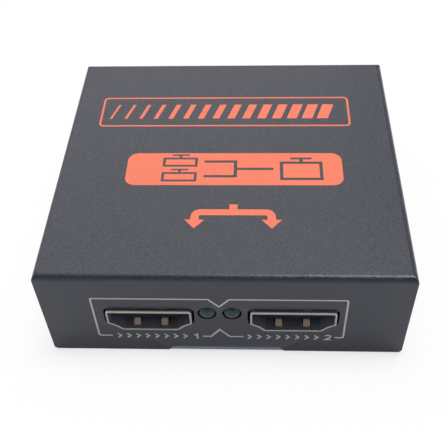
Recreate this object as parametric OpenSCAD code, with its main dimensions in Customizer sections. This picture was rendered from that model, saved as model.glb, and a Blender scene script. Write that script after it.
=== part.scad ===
// Small video splitter: one input, two outputs, in a folded sheet-metal case.
// X runs across the ports, the output ports face -Y, Z is up, and Z = 0 is the table.

/* [Case] */
// Width of the case, across the output ports
case_w = 64; // [63:0.5:76]
// Depth of the case, from the front flap to the back flap
case_d = 59.7; // [59.5:0.1:76]
// Height of the case
case_h = 21.2; // [20.6:0.1:28]
// Thickness of the cover's sheet
cover_t = 0.8; // [0.6:0.1:1]
// Inside radius of the cover's bends
bend_in_r = 0.3; // [0.1:0.05:0.5]
// Width of the relief slit at each top corner of the cover
corner_slit = 0.05; // [0.04:0.01:0.3]
// Radius of the bottom corners of the cover's flaps
flap_corner_r = 0.8; // [0.4:0.1:1.5]
// Gap between the cover's flaps and the edges of the base plate
base_gap = 0.15; // [0.1:0.05:0.3]

/* [Base plate] */
// Thickness of the base plate
base_t = 1; // [0.8:0.1:1.2]
// Inside radius of the base plate's bends
lug_bend_in_r = 0.5; // [0.3:0.1:1]
// Width of the tabs that fill the notches in the front and back flaps, at their upper side
tab_w = 19.4; // [14:0.2:22]
// Gap between a tab and its notch
tab_gap = 0.15; // [0.1:0.05:0.3]
// How far a tab stays behind the outer face of the flap
tab_inset = 0.15; // [0.05:0.05:0.4]
// How much wider a notch and its tab are at the bottom, on each side
notch_flare = 0.75; // [0.3:0.05:1.5]
// Width of each upright lug
lug_w = 12; // [9:0.5:14]
// Distance of the lugs' middles from the middle of the case, front to back
lug_y = 16.5; // [15.5:0.5:18]
// Height of the cover screws above the table
screw_z = 11; // [10.5:0.5:13]
// Metal of a lug above the middle of its screw
lug_over = 4.5; // [3.5:0.5:6]
// Radius of the top corners of a lug
lug_corner_r = 2.5; // [1:0.5:3]
// Width of the relief cuts beside a lug
lug_relief = 0.8; // [0.5:0.1:1.5]
// Length of the drawn collar behind a lug's threaded hole
collar_l = 1.2; // [0.8:0.1:1.6]
// Wall of the drawn collar
collar_wall = 0.8; // [0.5:0.1:1]

/* [Screws] */
// Diameter of the screws' shanks
screw_d = 2.9; // [2.5:0.1:3]
// Diameter of the screws' heads
head_d = 5.5; // [5:0.1:6]
// Length of a cover screw, from the case's side
cover_screw_l = 5; // [4.5:0.5:6]
// Height of a board screw's round head
pan_h = 1.9; // [1.5:0.1:2.2]
// Length of a board screw below its head
board_screw_l = 5; // [4.5:0.5:5]
// Depth that a screw's dimple is drawn into the case
dimple_l = 1; // [0.8:0.1:1.3]
// Slant of the drawn dimple, on each side
dimple_slant = 1.2; // [0.8:0.1:1.6]
// Gap around a screw's head and shank
screw_gap = 0.05; // [0.02:0.01:0.1]
// Width of a cross recess's arms
recess_w = 0.6; // [0.4:0.1:0.8]
// Span of a cross recess
recess_span = 2.8; // [2:0.2:3.2]
// Depth of a cross recess
recess_l = 0.9; // [0.6:0.1:1.1]

/* [Board] */
// Thickness of the circuit board
board_t = 1.6; // [1:0.2:2]
// Gap between the board and the front and back flaps
board_end_gap = 0.5; // [0.3:0.1:0.8]
// Gap between the board and the lugs
board_side_gap = 0.7; // [0.4:0.1:1.2]
// Height of the standoffs under the board
standoff_h = 4.4; // [3.3:0.1:5]
// Diameter of the standoffs
standoff_d = 5.5; // [5:0.5:6]
// Diameter of the spigot that clinches a standoff into the base plate
spigot_d = 4.2; // [4:0.1:4.6]
// Distance of the board screws from the board's side edges
hole_in_x = 3.3; // [3:0.1:4]
// Distance of the board screws from the board's front and back edges
hole_in_y = 3.7; // [3.2:0.1:4.5]
// Gap around whatever passes through the board
board_hole_gap = 0.15; // [0.1:0.05:0.25]
// How far the legs of the sockets and lamps reach below the board
leg_below = 0.8; // [0.5:0.1:1.5]

/* [Video sockets] */
// Place of the first output socket across the front
output_1_x = -13.25; // [-14:0.25:-13]
// Place of the second output socket across the front
output_2_x = 11.95; // [11.7:0.25:13]
// Place of the input socket across the back
input_x = -6; // [-9:0.5:-4]
// Outside width of a socket's shell
shell_w = 15; // [14.8:0.1:15.2]
// Outside height of a socket's shell
shell_h = 5.3; // [5.2:0.1:6]
// Length of a socket's shell
shell_l = 11.8; // [11:0.2:12.5]
// Sheet thickness of a socket's shell
shell_wall = 0.35; // [0.25:0.05:0.4]
// Width of the narrow bottom of a socket
shell_floor_w = 10; // [9.6:0.1:10.4]
// Height at which a socket's sides start to slope in
shell_knee_h = 1.9; // [1.7:0.1:2.1]
// Width of a socket at the break in its slope
shell_break_w = 12.2; // [11.8:0.1:12.6]
// Height of the break in a socket's slope
shell_break_h = 1.1; // [0.9:0.1:1.3]
// Outside radius of a shell's corners
shell_corner_r = 0.6; // [0.5:0.1:0.8]
// How far a shell stands out of its flap
shell_proud = 0.45; // [0.1:0.05:0.6]
// Gap between a shell and the edge of its cut-out
cutout_gap = 0.4; // [0.2:0.05:0.5]
// Width of a shell's leg, front to back
shell_leg_w = 1.1; // [0.8:0.1:1.4]
// Distance of a shell's front and back legs from its mouth
shell_leg_y = [3.2, 9]; // [2.8:0.2:9.4]
// Width of the spring fingers in a shell's floor and roof
finger_w = 1.2; // [1:0.1:1.6]
// Spacing of the two spring fingers
finger_pitch = 4.9; // [4.2:0.1:5.6]
// Distance of the fingers' tips from the mouth
finger_tip = 0.9; // [0.8:0.1:1.2]
// Distance of the fingers' humps from the mouth
finger_hump = 2; // [1.6:0.1:2.6]
// Distance of the fingers' roots from the mouth
finger_root = 6.2; // [5.4:0.2:7]
// How far a finger's hump stands off the shell's inner face
finger_rise = 0.65; // [0.4:0.05:0.7]
// Thickness of a spring finger
finger_t = 0.25; // [0.2:0.05:0.3]
// Cut clear around a spring finger
finger_gap = 0.15; // [0.1:0.05:0.25]
// Distance of the tongue's tip from the mouth
tongue_tip = 1.2; // [1:0.1:1.6]
// Width of the tongue
tongue_w = 11; // [10.4:0.2:11.4]
// Height of the tongue's underside above the board
tongue_z = 1.95; // [1.8:0.05:2.1]
// Thickness of the tongue
tongue_t = 1.9; // [1.7:0.1:2]
// Chamfer of the tongue's tip
tongue_chamfer = 0.4; // [0.2:0.1:0.6]
// Distance of the tongue's carrier from the mouth
carrier_y = 8.4; // [8:0.2:8.8]
// Length of the carrier
carrier_l = 2.4; // [2:0.2:2.4]
// Gap between the carrier and the shell
carrier_gap = 0.05; // [0.02:0.01:0.1]
// Contacts on the upper face of the tongue; the lower face has one less
contact_n = 10; // [8:1:10]
// Spacing of the contacts in a row
contact_pitch = 1; // [0.9:0.05:1]
// Width of a contact
contact_w = 0.3; // [0.2:0.05:0.3]
// Thickness of a contact
contact_t = 0.15; // [0.1:0.05:0.2]
// Gap between a contact and its slot in the carrier
contact_gap = 0.03; // [0.02:0.01:0.05]
// Length of a contact's soldered foot
contact_foot = 0.9; // [0.6:0.1:1.2]

/* [Lights] */
// Place of the first output's light across the front
light_1_x = -3.05; // [-3.4:0.05:-2.9]
// Place of the second output's light across the front
light_2_x = 1.3; // [1.1:0.05:1.6]
// Place of the power light across the back
power_light_x = 6.5; // [5:0.5:8]
// Diameter of a light's lens
light_d = 3; // [2.8:0.1:3]
// Length of a light, from its tip to its leads
light_l = 5.3; // [5:0.1:6]
// Height of the dome at a light's tip
light_dome_h = 0.8; // [0.6:0.1:1.3]
// Diameter of a light's flange
light_flange_d = 3.8; // [3.6:0.1:3.8]
// Thickness of a light's flange
light_flange_t = 1; // [0.8:0.1:1.2]
// How far a light's tip stands out of the flap
light_proud = 0.5; // [0.4:0.1:1.2]
// Height of a light's axis above the board
light_rise = 4.5; // [4:0.1:5]
// Gap between a lens and its hole
light_gap = 0.15; // [0.05:0.05:0.2]
// Thickness of a light's square leads
lead_t = 0.5; // [0.4:0.05:0.5]
// Spacing of a light's two leads
lead_pitch = 2.54; // [2:0.02:2.6]
// Straight length of a lead behind a light, before its bend
lead_run = 1.4; // [1:0.1:2]

/* [Power socket] */
// Gap between the power socket and the board screw beside it
power_side_gap = 0.95; // [0.3:0.05:2.5]
// Width of the power socket's housing
jack_w = 9; // [8.6:0.1:9.4]
// Length of the housing
jack_l = 14; // [13:0.5:14.5]
// Height of the bore's axis above the board
jack_axis_h = 6.5; // [6:0.1:7]
// Diameter of the bore
jack_bore_d = 6.4; // [6:0.1:6.6]
// Depth of the bore
jack_bore_l = 9.5; // [9:0.1:10]
// Diameter of the centre pin
jack_pin_d = 2; // [1.6:0.1:2.5]
// Diameter of the pin's riveted stem, behind the bore
jack_stem_d = 1.4; // [1:0.1:1.5]
// Distance of the pin's tip behind the housing's mouth
jack_pin_in = 0.6; // [0.4:0.1:1]
// How far the housing stands out of the flap
jack_proud = 0.3; // [0.1:0.1:0.6]
// Gap between the housing and its cut-out
jack_gap = 0.2; // [0.1:0.05:0.4]
// Depth of the full front of the housing, before it narrows
jack_front_l = 3.6; // [3:0.2:4.5]
// How much the housing narrows behind its front, on each side
jack_step = 0.4; // [0.2:0.1:0.5]
// Thickness of the power socket's contacts
jack_strip_t = 0.4; // [0.3:0.05:0.5]
// Width of the spring leaf in the floor of the bore
leaf_w = 2.6; // [2:0.1:3]
// How far the leaf's hump reaches into the bore
leaf_rise = 0.4; // [0.2:0.1:0.6]
// Gap around the contacts in the housing
jack_slot_gap = 0.1; // [0.05:0.05:0.2]
// Width of the pin's terminal
pin_strip_w = 3.2; // [2.6:0.1:3.6]
// Width of the switch contact
switch_w = 1.8; // [1.4:0.1:2.2]
// Height of the switch contact above the board
switch_h = 4.6; // [4:0.1:5]

/* [Parts on the board] */
// Place of the splitter chip on the board
chip_pos = [-1, -2]; // [-3:0.5:0]
// Width of the splitter chip's square body
chip_w = 12; // [10:0.5:12]
// Height of a chip's top above the board
chip_h = 1.5; // [1.2:0.1:1.7]
// Gap under a chip's body
chip_under = 0.1; // [0.05:0.05:0.2]
// Leads along each side of the splitter chip
chip_lead_n = 13; // [9:2:13]
// Spacing of the splitter chip's leads
chip_lead_pitch = 0.8; // [0.65:0.05:0.8]
// Reach of a lead beyond a chip's body
gull_reach = 1; // [0.8:0.1:1.2]
// Thickness of a chip's leads
gull_t = 0.15; // [0.1:0.05:0.2]
// Width of a chip's leads, as a share of their spacing
gull_share = 0.4; // [0.3:0.05:0.5]
// Place of the memory chip on the board
memory_pos = [14, -6]; // [-8:0.5:15]
// Width of the memory chip's body, between its rows of leads
memory_w = 3.9; // [3.7:0.1:4]
// Length of the memory chip's body
memory_l = 4.9; // [4.7:0.1:5.2]
// Spacing of the memory chip's leads
memory_pitch = 1.27; // [1.2:0.01:1.27]
// Place of the clock crystal on the board
crystal_pos = [-17.5, 4]; // [-18.5:0.5:6]
// Length of the crystal's can
crystal_l = 10.2; // [9:0.2:11]
// Width of the crystal's can
crystal_w = 3.8; // [3.4:0.1:4.4]
// Height of the crystal's can
crystal_h = 3.2; // [2.6:0.1:3.6]
// Margin of the crystal's base around its can
crystal_rim = 0.5; // [0.3:0.1:0.7]
// Thickness of the crystal's base
crystal_base_t = 0.6; // [0.4:0.1:0.8]
// Place of the 3.3 V regulator on the board
regulator_3v3_pos = [21, 9]; // [8:0.5:22]
// Place of the 1.8 V regulator on the board
regulator_1v8_pos = [21, -1]; // [-2:0.5:22]
// Length of a regulator's body
regulator_l = 6.5; // [6.2:0.1:6.7]
// Width of a regulator's body
regulator_w = 3.5; // [3.3:0.1:3.7]
// Height of a regulator
regulator_h = 1.6; // [1.5:0.1:1.8]
// Spacing of a regulator's leads
regulator_pitch = 2.3; // [2.1:0.1:2.3]
// Width of a regulator's tab
regulator_tab_w = 3; // [2.8:0.1:3.2]
// Place of the reservoir capacitor on the board
reservoir_pos = [12.2, 7.8]; // [7:0.2:12.6]
// Diameter of the reservoir capacitor's can
reservoir_d = 6.3; // [5:0.1:6.5]
// Height of the reservoir capacitor
reservoir_h = 5.8; // [5.2:0.1:7.7]
// Thickness of the reservoir capacitor's base
reservoir_base_t = 1; // [0.6:0.1:1.2]
// Depth of the rolled groove round the can
reservoir_groove = 0.25; // [0.1:0.05:0.4]
// Place of the filter coil on the board
coil_pos = [4.2, 12.2]; // [4:0.2:12.6]
// Width of the filter coil's square flanges
coil_w = 5; // [4:0.2:5]
// Height of the filter coil
coil_h = 2.8; // [2.4:0.1:3.4]
// Thickness of each of the coil's flanges
coil_flange_t = 0.6; // [0.5:0.1:0.8]
// Diameter of the coil's core
coil_core_d = 2; // [1.6:0.1:2.4]
// Diameter of the wound wire
coil_wire_d = 4.2; // [3.4:0.1:4.6]
// Length of a chip capacitor or resistor
chip_part_l = 1.6; // [1.4:0.1:2]
// Width of a chip capacitor or resistor
chip_part_w = 0.8; // [0.6:0.1:1.2]
// Height of a chip capacitor
capacitor_h = 0.8; // [0.6:0.1:1]
// Height of a chip resistor
resistor_h = 0.45; // [0.35:0.05:0.6]
// Length of the metal end of a chip capacitor or resistor
terminal_l = 0.35; // [0.25:0.05:0.5]
// Spacing of a row of chip capacitors or resistors
chip_part_pitch = 1.9; // [1.7:0.1:2]
// Distance of the surge arrays behind a video socket
surge_back = 2.2; // [1.8:0.1:2.4]
// Spacing of the two surge arrays behind a socket
surge_pitch = 5; // [4:0.2:6]
// Length of a surge array
surge_l = 2.5; // [2:0.1:3]
// Width of a surge array
surge_w = 1.35; // [1:0.05:1.5]
// Height of a surge array
surge_h = 0.7; // [0.5:0.05:0.9]

/* [Hidden] */
$fn = 64;
arc_steps = 5;
over = 1;

bend_r = cover_t + bend_in_r;
front_y = -case_d / 2;
back_y = case_d / 2;
inner_x = case_w / 2 - cover_t;
inner_y = case_d / 2 - cover_t;
// The side flaps stop short of the front and back bends by the relief slit.
side_flap_y = case_d / 2 - bend_r - corner_slit;
base_w = 2 * (inner_x - base_gap);
base_d = 2 * (inner_y - base_gap);
lug_x = inner_x - dimple_l;
lug_top = screw_z + lug_over;
dimple_foot_r = head_d / 2 + screw_gap;
// A countersunk head is a right-angled cone, as deep as it is wide beyond the shank.
head_cone = (head_d - screw_d) / 2;
board_w = 2 * (lug_x - base_t - board_side_gap);
board_d = 2 * (inner_y - board_end_gap);
board_z = base_t + standoff_h;
board_top = board_z + board_t;
hole_x = board_w / 2 - hole_in_x;
hole_y = board_d / 2 - hole_in_y;
light_z = board_top + light_rise;
light_r = light_d / 2;
// The dome is a cap of a ball that meets the lens's straight side at the dome's height.
light_dome_r = (light_r * light_r + light_dome_h * light_dome_h) / (2 * light_dome_h);
jack_r = jack_w / 2;
power_x = hole_x - head_d / 2 - power_side_gap - jack_r;
bore_r = jack_bore_d / 2;
leg_l = board_t + leg_below;
carrier_end = carrier_y + carrier_l;
contact_y = carrier_end + contact_t;
socket_back = contact_y + contact_foot;
leaf_floor = jack_axis_h - bore_r - 1.6;
leaf_leg_y = jack_bore_l + 1.2;
reservoir_r = reservoir_d / 2;

// Unit normal to the right of the way from a to b, which is outward on a counter-clockwise outline
function outward(a, b) = [b.y - a.y, a.x - b.x] / norm(b - a);

// Where the line through p along u meets the line through q along v
function meet(p, u, q, v) = p + u * cross(q - p, v) / cross(u, v);

// A counter-clockwise outline with each edge moved outward by g
function grown(pts, g) =
    let (n = len(pts))
    [for (i = [0:n - 1])
        let (a = pts[(i + n - 1) % n], b = pts[i], c = pts[(i + 1) % n])
        meet(b + g * outward(a, b), b - a, b + g * outward(b, c), c - b)];

// The points of the arc of radius r that rounds the corner b between a and c
function corner_arc(a, b, c, r) =
    let (
        u = (a - b) / norm(a - b),
        v = (c - b) / norm(c - b),
        half = acos(u * v) / 2,
        middle = b + (u + v) / norm(u + v) * r / sin(half),
        from = b + u * r / tan(half) - middle,
        to = b + v * r / tan(half) - middle,
        sweep = atan2(cross(from, to), from * to)
    )
    [for (k = [0:arc_steps])
        let (t = sweep * k / arc_steps)
        middle + [from.x * cos(t) - from.y * sin(t), from.x * sin(t) + from.y * cos(t)]];

// An outline with corner i rounded to radius radii[i]
function rounded(pts, radii) =
    let (n = len(pts))
    [for (i = [0:n - 1]) each corner_arc(pts[(i + n - 1) % n], pts[i], pts[(i + 1) % n], radii[i])];

// The outline of a video socket's shell, grown by g, with the middle of its floor at the origin
function socket_outline(g = 0) =
    let (
        right = [
            [shell_floor_w / 2, 0],
            [shell_break_w / 2, shell_break_h],
            [shell_w / 2, shell_knee_h],
            [shell_w / 2, shell_h]
        ],
        left = [for (i = [3:-1:0]) [-right[i].x, right[i].y]],
        bulge = [1, -1, 1, 1, 1, 1, -1, 1]
    )
    rounded(grown(concat(right, left), g), [for (s = bulge) shell_corner_r + s * g]);

// A rectangle standing on the X axis with its two top corners rounded
module rounded_top(w, h, r) {
    translate([-w / 2, 0]) square([w, h - r]);
    translate([-w / 2 + r, 0]) square([w - 2 * r, h]);
    for (s = [-1, 1]) translate([s * (w / 2 - r), h - r]) circle(r);
}

// Sheet of thickness t folded into an upside-down U, w wide and h high
module sheet_u(w, h, t, r_in) {
    difference() {
        rounded_top(w, h, r_in + t);
        translate([0, -over]) rounded_top(w - 2 * t, h - t + over, r_in);
    }
}

// What is cut away to round a corner at the origin, where the sheet lies towards +X and +Y
module corner_cut(r) {
    difference() {
        translate([-over, -over]) square(r + over);
        translate([r, r]) circle(r);
    }
}

// Draws a 2D shape given as X and Z, extruded from y = 0 to y = l
module along_y(l) {
    rotate([90, 0, 0]) translate([0, 0, -l]) linear_extrude(l) children();
}

// Draws a 2D shape given as Y and Z, extruded by w about x = 0
module across_x(w) {
    rotate([90, 0, 90]) linear_extrude(w, center = true) children();
}

// Cuts a 2D shape given as X and Z through the front flap (side -1) or the back flap (side 1)
module through_flap(side) {
    inside = cover_t + bend_in_r / 2;
    translate([0, side > 0 ? case_d / 2 - inside : -case_d / 2 - over, 0])
        along_y(inside + over) children();
}

// Places a part on the board with its mouth standing out of the front flap
module at_front(x, proud) {
    translate([x, front_y - proud, board_top]) children();
}

// Places a part on the board with its mouth standing out of the back flap
module at_back(x, proud) {
    translate([x, back_y + proud, board_top]) rotate(180) children();
}

module at_output_1() at_front(output_1_x, shell_proud) children();

module at_output_2() at_front(output_2_x, shell_proud) children();

module at_input() at_back(input_x, shell_proud) children();

module at_power() at_back(power_x, jack_proud) children();

module at_light_1() at_front(light_1_x, light_proud) children();

module at_light_2() at_front(light_2_x, light_proud) children();

module at_power_light() at_back(power_light_x, light_proud) children();

// Places a part at each cover screw, with Z pointing into the case from the cover's outer face
module at_cover_screws() {
    for (sx = [-1, 1], sy = [-1, 1])
        translate([sx * case_w / 2, sy * lug_y, screw_z]) rotate([0, -sx * 90, 0]) children();
}

// Places a part at each board screw, standing on the table
module at_board_screws() {
    for (sx = [-1, 1], sy = [-1, 1]) translate([sx * hole_x, sy * hole_y, 0]) children();
}

// Places a part on the board
module on_board(pos) {
    translate([pos.x, pos.y, board_top]) children();
}

// Cross recess in a screw's head, cut towards +Z from z = 0
module cross_recess() {
    for (a = [0, 90])
        rotate(a) translate([-recess_span / 2, -recess_w / 2, -over]) cube([recess_span, recess_w, recess_l + over]);
}

// Outline of the base plate's tab, seen from the front
module tab_end() {
    half = tab_w / 2;
    foot = half + notch_flare;
    polygon([[-foot, 0], [foot, 0], [half, base_t], [-half, base_t]]);
}

// Notch in a flap's bottom edge, round the base plate's tab
module tab_notch() {
    half = tab_w / 2 + tab_gap;
    high = base_t + tab_gap;
    mouth = half + notch_flare * (1 + over / high);
    polygon([[-mouth, -over], [mouth, -over], [half, high], [-half, high]]);
}

// Rounds the bottom corners of a flap whose half width is given
module flap_corner_cuts(half) {
    translate([-half, 0]) corner_cut(flap_corner_r);
    translate([half, 0]) mirror([1, 0]) corner_cut(flap_corner_r);
}

module light_hole(x) {
    translate([x, light_z]) circle(light_r + light_gap);
}

module socket_hole(x) {
    translate([x, board_top]) polygon(socket_outline(cutout_gap));
}

module top_cover() {
    color("#5c5d62") difference() {
        union() {
            difference() {
                intersection() {
                    across_x(case_w) sheet_u(case_d, case_h, cover_t, bend_in_r);
                    translate([0, front_y, 0]) along_y(case_d) rounded_top(case_w, case_h, bend_r);
                }
                for (s = [-1, 1])
                    translate([s * case_w / 2, 0, case_h])
                        cube([2 * bend_r, case_d - 2 * bend_r, 4 * bend_r], center = true);
            }
            translate([0, -side_flap_y, 0])
                along_y(2 * side_flap_y) sheet_u(case_w, case_h, cover_t, bend_in_r);
            at_cover_screws() translate([0, 0, cover_t / 2])
                cylinder(h = cover_t / 2 + dimple_l, r1 = dimple_foot_r + dimple_slant, r2 = dimple_foot_r);
        }
        for (side = [-1, 1]) through_flap(side) {
            tab_notch();
            flap_corner_cuts(case_w / 2);
        }
        across_x(case_w + 2 * over) flap_corner_cuts(side_flap_y);
        through_flap(-1) {
            socket_hole(output_1_x);
            socket_hole(output_2_x);
            light_hole(light_1_x);
            light_hole(light_2_x);
        }
        through_flap(1) {
            socket_hole(input_x);
            light_hole(power_light_x);
            translate([power_x, board_top]) jack_outline(-jack_gap);
        }
        at_cover_screws() {
            translate([0, 0, -over]) cylinder(
                h = head_cone + over,
                r1 = screw_d / 2 + screw_gap + head_cone + over,
                r2 = screw_d / 2 + screw_gap
            );
            cylinder(h = cover_t + dimple_l + over, d = screw_d + 2 * screw_gap);
        }
    }
}

// The two upright lugs at one place along the base plate, with the strip of floor that joins them
module lug_pair() {
    difference() {
        translate([0, -lug_w / 2, 0]) along_y(lug_w)
            translate([0, lug_top]) mirror([0, 1]) sheet_u(2 * lug_x, lug_top, base_t, lug_bend_in_r);
        across_x(case_w) {
            translate([-lug_w / 2, lug_top]) mirror([0, 1]) corner_cut(lug_corner_r);
            translate([lug_w / 2, lug_top]) rotate(180) corner_cut(lug_corner_r);
        }
    }
}

module base_plate() {
    lug_root = base_w / 2 - lug_x + base_t + lug_bend_in_r;
    tab_d = case_d - 2 * tab_inset;
    color("#8f929b") difference() {
        union() {
            difference() {
                translate([-base_w / 2, -base_d / 2, 0]) cube([base_w, base_d, base_t]);
                for (sx = [-1, 1], sy = [-1, 1])
                    translate([sx * base_w / 2, sy * lug_y, base_t / 2])
                        cube([2 * lug_root, lug_w + 2 * lug_relief, base_t + over], center = true);
            }
            translate([0, -tab_d / 2, 0]) along_y(tab_d) tab_end();
            for (s = [-1, 1]) translate([0, s * lug_y, 0]) lug_pair();
            at_cover_screws() translate([0, 0, cover_t + dimple_l + base_t / 2])
                cylinder(h = base_t / 2 + collar_l, d = screw_d + 2 * (screw_gap + collar_wall));
        }
        at_cover_screws() cylinder(h = cover_t + dimple_l + base_t + collar_l + over, d = screw_d + 2 * screw_gap);
        at_board_screws() translate([0, 0, -over]) cylinder(h = base_t + 2 * over, d = spigot_d + 2 * screw_gap);
    }
}

module cover_screws() {
    color("#3a3b3f") at_cover_screws() difference() {
        union() {
            cylinder(h = head_cone, d1 = head_d, d2 = screw_d);
            cylinder(h = cover_screw_l, d = screw_d);
        }
        cross_recess();
    }
}

module board_standoffs() {
    color("#c9b26a") at_board_screws() difference() {
        union() {
            translate([0, 0, base_t]) cylinder(h = standoff_h, d = standoff_d);
            translate([0, 0, screw_gap]) cylinder(h = base_t, d = spigot_d);
        }
        cylinder(h = board_z + over, d = screw_d + 2 * screw_gap);
    }
}

// Radius of the ball that domes a round screw head of height pan_h
function dome_r() = (head_d * head_d / 4 + pan_h * pan_h) / (2 * pan_h);

module board_screws() {
    color("#b9bcc2") at_board_screws() translate([0, 0, board_top]) difference() {
        union() {
            intersection() {
                cylinder(h = pan_h, d = head_d);
                translate([0, 0, pan_h - dome_r() - pan_h / 4]) sphere(dome_r() + pan_h / 4);
            }
            translate([0, 0, -board_screw_l]) cylinder(h = board_screw_l + pan_h / 2, d = screw_d);
        }
        translate([0, 0, pan_h]) mirror([0, 0, 1]) cross_recess();
    }
}

module circuit_board() {
    color("#1f5c3a") difference() {
        translate([-board_w / 2, -board_d / 2, board_z]) cube([board_w, board_d, board_t]);
        at_board_screws() translate([0, 0, board_z - over])
            cylinder(h = board_t + 2 * over, d = screw_d + 2 * board_hole_gap);
        at_output_1() shell_legs(board_hole_gap);
        at_output_2() shell_legs(board_hole_gap);
        at_input() shell_legs(board_hole_gap);
        at_power() jack_legs(board_hole_gap);
        at_light_1() light_legs(board_hole_gap);
        at_light_2() light_legs(board_hole_gap);
        at_power_light() light_legs(board_hole_gap);
    }
}

// A socket's four legs through the board, grown by g where the board is cut for them
module shell_legs(g = 0) {
    thick = shell_wall + 2 * g;
    wide = shell_leg_w + 2 * g;
    for (s = [-1, 1], y = shell_leg_y)
        translate([s * (shell_w - shell_wall) / 2 - thick / 2, y - wide / 2, -leg_l - g])
            cube([thick, wide, leg_l + g + shell_knee_h + shell_corner_r]);
}

// Draws a part of a shell's floor, and the same part turned over in its roof
module floor_and_roof() {
    children();
    translate([0, 0, shell_h]) mirror([0, 0, 1]) children();
}

// One spring finger, rising from the shell's floor to a hump near the mouth
module spring_finger() {
    low = (shell_wall - finger_t) / 2;
    top = shell_wall + finger_rise;
    root = finger_root + finger_w / 4;
    dip = low + finger_t;
    across_x(finger_w) polygon([
        [root, low], [root, low + finger_t], [finger_hump, top],
        [finger_tip, dip], [finger_tip, low], [finger_hump, top - finger_t]
    ]);
}

module socket_shell() {
    window_w = finger_w + 2 * finger_gap;
    window_y = finger_tip - finger_gap;
    tail_w = contact_n * contact_pitch + contact_w;
    color("#b8b2a6") {
        difference() {
            along_y(shell_l) difference() {
                polygon(socket_outline());
                polygon(socket_outline(-shell_wall));
            }
            floor_and_roof() for (s = [-1, 1])
                translate([s * finger_pitch / 2 - window_w / 2, window_y, -over])
                    cube([window_w, finger_root - window_y, over + shell_wall + finger_gap]);
            translate([-tail_w / 2, carrier_end - carrier_l / 4, -over])
                cube([tail_w, shell_l, over + shell_break_h]);
        }
        floor_and_roof() for (s = [-1, 1]) translate([s * finger_pitch / 2, 0, 0]) spring_finger();
        shell_legs();
    }
}

// Places a contact at each place in the upper row (row 0) or the lower row (row 1)
module contact_row(row) {
    n = contact_n - row;
    for (i = [0:n - 1]) translate([(i - (n - 1) / 2) * contact_pitch, 0, 0]) children();
}

// Height of the underside of a row's contacts above the board
function contact_z(row) = row == 0 ? tongue_z + tongue_t : tongue_z - contact_t;

module socket_tongue() {
    low = tongue_z;
    top = tongue_z + tongue_t;
    slot_w = contact_w + 2 * contact_gap;
    color("#1c1c20") difference() {
        union() {
            across_x(tongue_w) polygon([
                [tongue_tip, low + tongue_chamfer], [tongue_tip + tongue_chamfer, low], [carrier_end, low],
                [carrier_end, top], [tongue_tip + tongue_chamfer, top], [tongue_tip, top - tongue_chamfer]
            ]);
            translate([0, carrier_y, 0]) along_y(carrier_l) polygon(socket_outline(-shell_wall - carrier_gap));
        }
        for (row = [0, 1]) contact_row(row)
            translate([-slot_w / 2, carrier_y - over, contact_z(row) - row * contact_gap])
                cube([slot_w, carrier_l + 2 * over, contact_t + contact_gap]);
    }
}

// One contact: along the tongue, through the carrier, down to the board and out to its foot
module socket_contact(z) {
    start = tongue_tip + 2 * tongue_chamfer;
    back = contact_y + contact_t;
    across_x(contact_w) polygon([
        [start, z], [start, z + contact_t], [back, z + contact_t], [back, contact_t],
        [socket_back, contact_t], [socket_back, 0], [contact_y, 0], [contact_y, z]
    ]);
}

module socket_contacts() {
    color("#c8a64a") for (row = [0, 1]) contact_row(row) socket_contact(contact_z(row));
}

// The power socket's arched end, drawn smaller by step or, for its cut-out, larger
module jack_outline(step = 0) {
    r = jack_r - step;
    low = min(step, 0);
    translate([-r, low]) square([2 * r, jack_axis_h - low]);
    translate([0, jack_axis_h]) circle(r);
}

// Places of the power socket's legs: the pin's terminal, the leaf and the switch contact
module pin_leg(g = 0) {
    translate([-pin_strip_w / 2 - g, jack_l - g, -leg_l - g])
        cube([pin_strip_w + 2 * g, jack_strip_t + 2 * g, leg_l + jack_axis_h + g]);
}

module leaf_leg(g = 0) {
    translate([-leaf_w / 2 - g, leaf_leg_y - g, -leg_l - g])
        cube([leaf_w + 2 * g, jack_strip_t + 2 * g, leg_l + leaf_floor + g]);
}

module switch_leg(g = 0) {
    translate([jack_r - jack_step - 2.5 * jack_strip_t - g, leaf_leg_y - g, -leg_l - g])
        cube([jack_strip_t + 2 * g, switch_w + 2 * g, leg_l + switch_h + 2 * g]);
}

module jack_legs(g) {
    pin_leg(g);
    leaf_leg(g);
    switch_leg(g);
}

// Draws a round bar or bore along +Y on the power socket's axis
module on_jack_axis(y) {
    translate([0, y, jack_axis_h]) rotate([-90, 0, 0]) children();
}

module power_housing() {
    slot_w = leaf_w + 2 * jack_slot_gap;
    slot_y = jack_front_l - jack_strip_t - jack_slot_gap;
    slot_end = leaf_leg_y + jack_strip_t + jack_slot_gap;
    switch_x = jack_r - jack_step - 2.5 * jack_strip_t - jack_slot_gap;
    color("#222226") difference() {
        union() {
            along_y(jack_front_l) jack_outline();
            along_y(jack_l) jack_outline(jack_step);
        }
        on_jack_axis(-over) cylinder(h = jack_bore_l + over, d = jack_bore_d);
        on_jack_axis(0) cylinder(h = jack_l + over, d = jack_stem_d + 2 * screw_gap);
        translate([-slot_w / 2, slot_y, -over])
            cube([slot_w, slot_end - slot_y, over + jack_axis_h - bore_r * 0.75]);
        translate([switch_x, leaf_leg_y - jack_slot_gap, -over])
            cube([jack_r, switch_w + 2 * jack_slot_gap, over + switch_h + jack_slot_gap]);
    }
}

module power_pin() {
    r = jack_pin_d / 2;
    color("#c9c4b6") {
        on_jack_axis(jack_pin_in + r) cylinder(h = jack_bore_l - jack_pin_in - r, r = r);
        on_jack_axis(jack_bore_l - r) cylinder(h = jack_l + jack_strip_t - jack_bore_l + r, d = jack_stem_d);
        on_jack_axis(jack_pin_in + r) sphere(r);
        translate([0, jack_l, 0]) along_y(jack_strip_t) translate([0, jack_axis_h]) circle(d = pin_strip_w);
        pin_leg();
    }
}

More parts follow.
